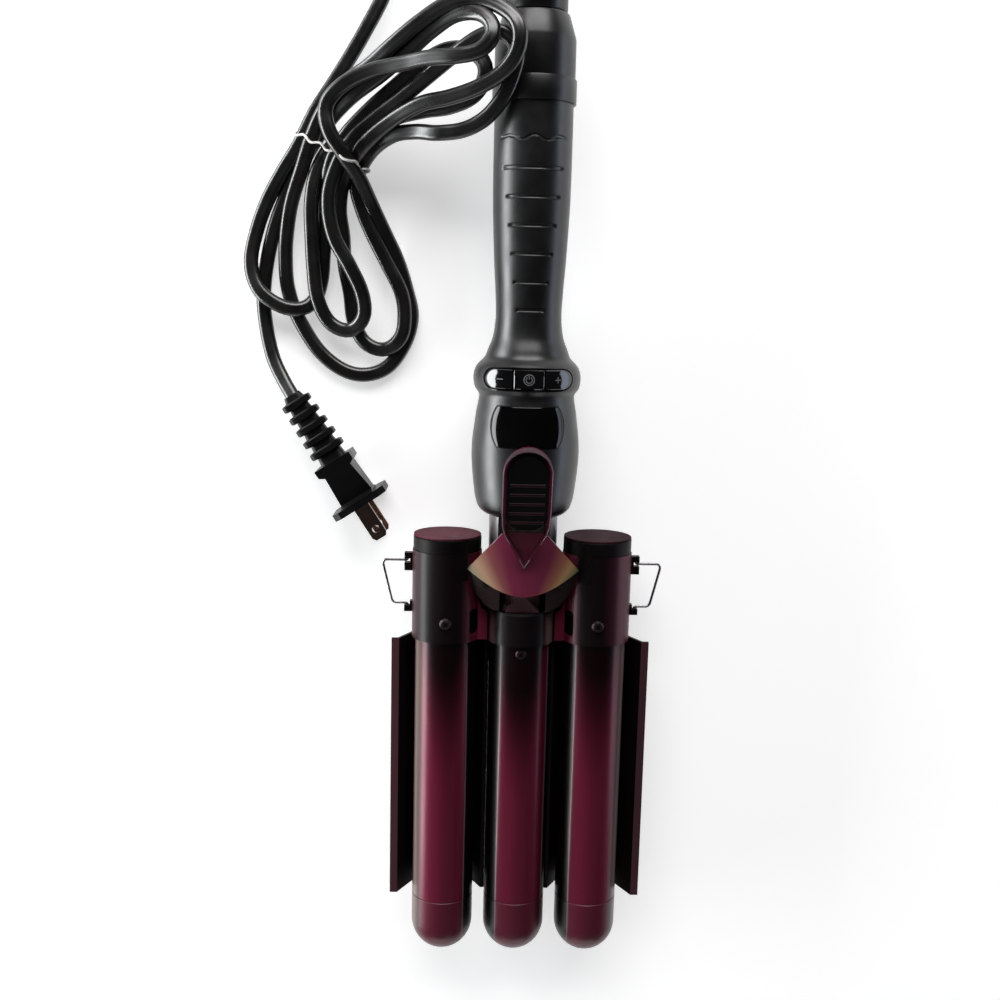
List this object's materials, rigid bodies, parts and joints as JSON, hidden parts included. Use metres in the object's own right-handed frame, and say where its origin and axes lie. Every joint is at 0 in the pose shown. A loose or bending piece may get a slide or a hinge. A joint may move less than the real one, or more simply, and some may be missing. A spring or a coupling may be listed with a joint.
{
  "type": "hair waver",
  "caption": "Corded hair waver: parallel heated barrels close over trough plates by a sprung thumb lever, with a round grip, display, keys and a swivelling lead.",
  "frame": {"origin": "on the flat back of the rear cover, straight under the jaw's pivot pin", "axes": "+X to the tool's right as its front is looked at, +Y from the barrels up the grip, +Z out of the front; it lies on its back"},
  "size_m": [0.1676, 0.4699, 0.0597],
  "materials": {
    "grip_plastic": "fine satin, charcoal",
    "housing_plastic": "heat resistant, satin",
    "black_gloss": "polished",
    "tip_plastic": "polished, heat resistant",
    "inner_plastic": "moulded",
    "tie_plastic": "coated wire",
    "barrel_coat": "glossy burgundy ceramic coat",
    "dark_metal": "glossy dark plating",
    "heater_metal": "extruded",
    "zinc_steel": "zinc plated",
    "contact_brass": "machined",
    "blade_brass": "plated",
    "board": "solder resist",
    "module": "display cell",
    "lead_rubber": "smooth"
  },
  "bodies": {
    "handle": {"grip_shell_front": "grip_plastic", "grip_shell_rear": "grip_plastic", "tail_band": "grip_plastic", "shell_screws": "zinc_steel", "circuit_board": "board", "board_screws": "zinc_steel", "display_module": "module", "display_window": "black_gloss", "key_bezel": "black_gloss", "key_switches": "inner_plastic", "slip_brushes": "contact_brass", "mains_leads": "lead_rubber", "neck_tube": "dark_metal", "yoke": "inner_plastic", "pivot_pin": "zinc_steel", "return_spring": "zinc_steel", "middle_sleeve": "dark_metal", "middle_barrel": "barrel_coat", "middle_tip_cap": "tip_plastic", "middle_heater": "heater_metal", "middle_screw": "zinc_steel", "left_wave_plate": "barrel_coat", "right_wave_plate": "barrel_coat", "plate_rivets": "zinc_steel", "rear_cover": "housing_plastic", "cover_screws": "zinc_steel", "cord_lead": "lead_rubber", "cord_hank_upper": "lead_rubber", "cord_hank_lower": "lead_rubber", "cord_tie": "tie_plastic", "cord_tail": "lead_rubber", "plug_relief": "lead_rubber", "plug_body": "lead_rubber", "plug_blades": "blade_brass"},
    "jaw": {"saddle": "dark_metal", "thumb_lever": "black_gloss", "lever_screw": "zinc_steel", "left_bracket": "dark_metal", "left_housing": "housing_plastic", "left_barrel": "barrel_coat", "left_tip_cap": "tip_plastic", "left_heater": "heater_metal", "right_bracket": "dark_metal", "right_housing": "housing_plastic", "right_barrel": "barrel_coat", "right_tip_cap": "tip_plastic", "right_heater": "heater_metal", "housing_screws": "zinc_steel", "left_stand_lugs": "housing_plastic", "right_stand_lugs": "housing_plastic"},
    "left_stand": {"left_wire_stand": "zinc_steel"},
    "right_stand": {"right_wire_stand": "zinc_steel"},
    "minus_button": {"key_minus": "black_gloss"},
    "power_button": {"key_power": "black_gloss"},
    "plus_button": {"key_plus": "black_gloss"},
    "swivel": {"swivel_cap": "grip_plastic", "strain_relief": "lead_rubber", "slip_rings": "contact_brass"}
  },
  "joints": [
    {"name": "jaw_hinge", "type": "hinge", "parent": "handle", "child": "jaw", "pos_m": [0, 0, 0.0212], "axis": [-1, 0, 0], "range_deg": [0, 12], "stiffness_Nm_per_rad": 0.4, "springref_deg": -28.65},
    {"name": "left_stand_hinge", "type": "hinge", "parent": "jaw", "child": "left_stand", "pos_m": [-0.04535, 0, 0.0212], "axis": [0, -1, 0], "range_deg": [-40, 90]},
    {"name": "right_stand_hinge", "type": "hinge", "parent": "jaw", "child": "right_stand", "pos_m": [0.04535, 0, 0.0212], "axis": [0, 1, 0], "range_deg": [-40, 90]},
    {"name": "minus_key_slide", "type": "slide", "parent": "handle", "child": "minus_button", "axis": [0, 0, -1], "range_m": [0, 0.0006], "stiffness_N_per_m": 900, "springref_m": -0.0004},
    {"name": "power_key_slide", "type": "slide", "parent": "handle", "child": "power_button", "axis": [0, 0, -1], "range_m": [0, 0.0006], "stiffness_N_per_m": 900, "springref_m": -0.0004},
    {"name": "plus_key_slide", "type": "slide", "parent": "handle", "child": "plus_button", "axis": [0, 0, -1], "range_m": [0, 0.0006], "stiffness_N_per_m": 900, "springref_m": -0.0004},
    {"name": "cord_swivel", "type": "hinge", "parent": "handle", "child": "swivel", "pos_m": [0, 0.21, 0.0212], "axis": [0, 1, 0], "continuous": true}
  ]
}
